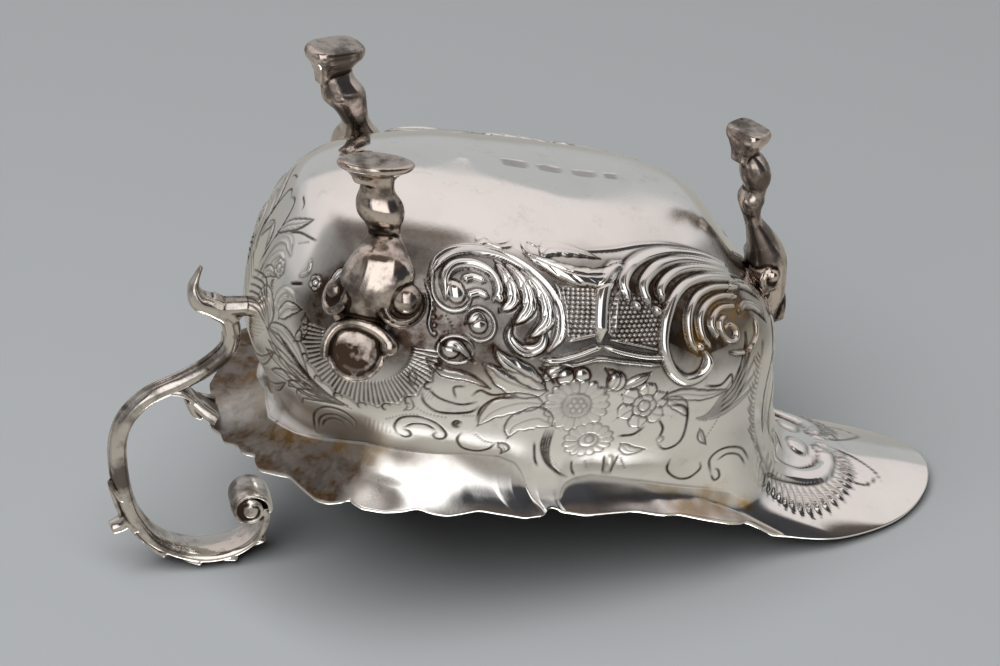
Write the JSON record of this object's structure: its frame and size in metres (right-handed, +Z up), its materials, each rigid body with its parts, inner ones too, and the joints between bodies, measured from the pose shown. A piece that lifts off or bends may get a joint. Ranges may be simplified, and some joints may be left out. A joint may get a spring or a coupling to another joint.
{
  "type": "silver sauce boat",
  "caption": "Oval chased silver sauce boat with a flared scalloped rim, long pouring lip, cabriole legs with scrolled knees, and a leafed scroll handle.",
  "frame": {"origin": "middle of the bounding box at the height of the soles of the three feet", "axes": "+X along the length towards the pouring lip, +Y to the left seen from the handle, +Z up when the piece stands on its feet"},
  "size_m": [0.168, 0.0722, 0.1044],
  "materials": {
    "raised_silver": "polished silver with light tarnish",
    "cast_silver": "cast silver, tarnished in the hollows",
    "handle_silver": "cast silver, softly polished"
  },
  "bodies": {
    "root": {"body": "raised_silver", "leg_rear_left": "cast_silver", "leg_rear_right": "cast_silver", "leg_front": "cast_silver", "handle_scroll": "handle_silver", "handle_bracket": "handle_silver"}
  },
  "joints": []
}
